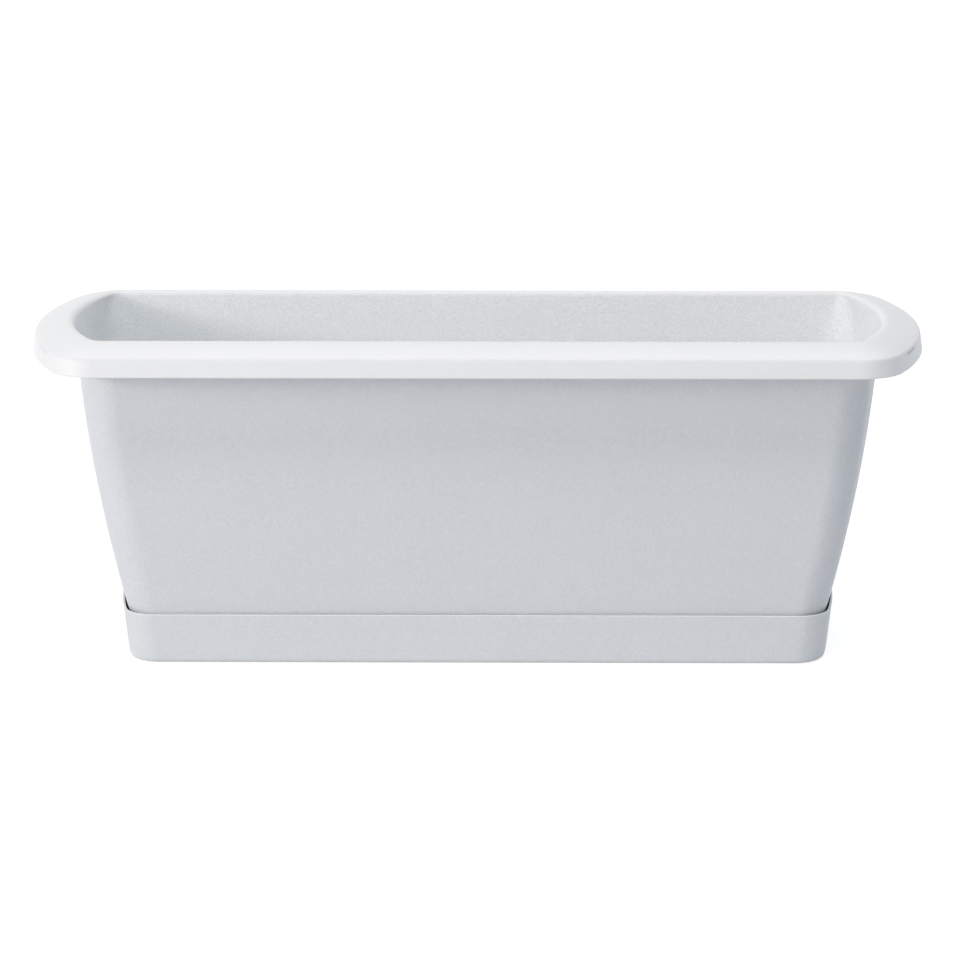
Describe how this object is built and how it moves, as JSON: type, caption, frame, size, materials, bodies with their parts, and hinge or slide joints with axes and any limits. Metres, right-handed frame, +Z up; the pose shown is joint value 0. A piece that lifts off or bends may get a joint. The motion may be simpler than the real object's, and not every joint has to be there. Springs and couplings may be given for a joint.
{
  "type": "balcony planter",
  "caption": "Long moulded plastic trough planter with a wide sloping rim and bulging tapered walls, standing on hollow feet in a close-fitting drip tray.",
  "frame": {"origin": "on the floor, under the centre of the drip tray", "axes": "+X along the trough, -Y towards the front, +Z up"},
  "size_m": [0.491, 0.184, 0.184],
  "materials": {
    "box_plastic": "fine-grained satin white polypropylene, smooth on the rim",
    "tray_plastic": "fine-grained satin white polypropylene"
  },
  "bodies": {
    "tray": {"drip_tray": "tray_plastic"},
    "box": {"planter_box": "box_plastic"}
  },
  "joints": [
    {"name": "box_lift", "type": "slide", "parent": "tray", "child": "box", "axis": [0, 0, 1], "range_m": [0, 0.06]}
  ]
}
